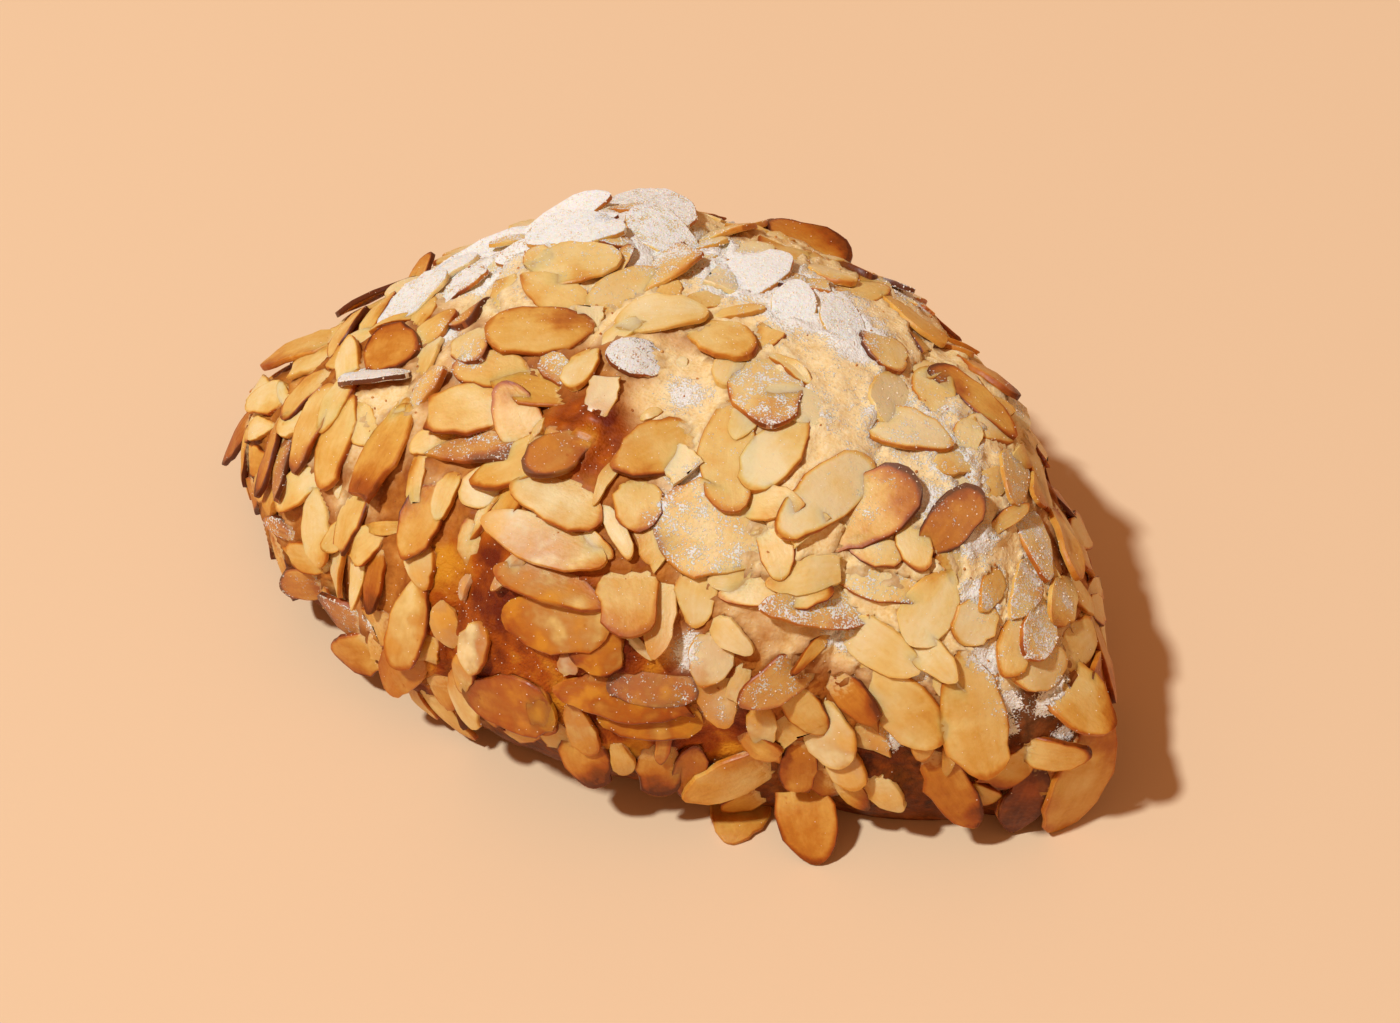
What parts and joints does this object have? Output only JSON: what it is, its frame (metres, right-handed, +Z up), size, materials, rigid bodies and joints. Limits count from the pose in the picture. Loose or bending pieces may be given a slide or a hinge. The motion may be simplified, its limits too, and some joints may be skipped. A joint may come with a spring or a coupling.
{
  "type": "almond croissant",
  "caption": "Plump baked croissant with a rolled crust, covered all over with sliced almonds and lying on its flat underside.",
  "frame": {"origin": "centre of the bounding box, on the plane that the croissant lies on", "axes": "+X along the roll toward the blunt tip, +Y toward the back, +Z up"},
  "size_m": [0.1598, 0.108, 0.0616],
  "materials": {
    "croissant": "baked golden crust, dry with glossy caramel patches"
  },
  "bodies": {
    "root": {"croissant": "croissant"}
  },
  "joints": []
}
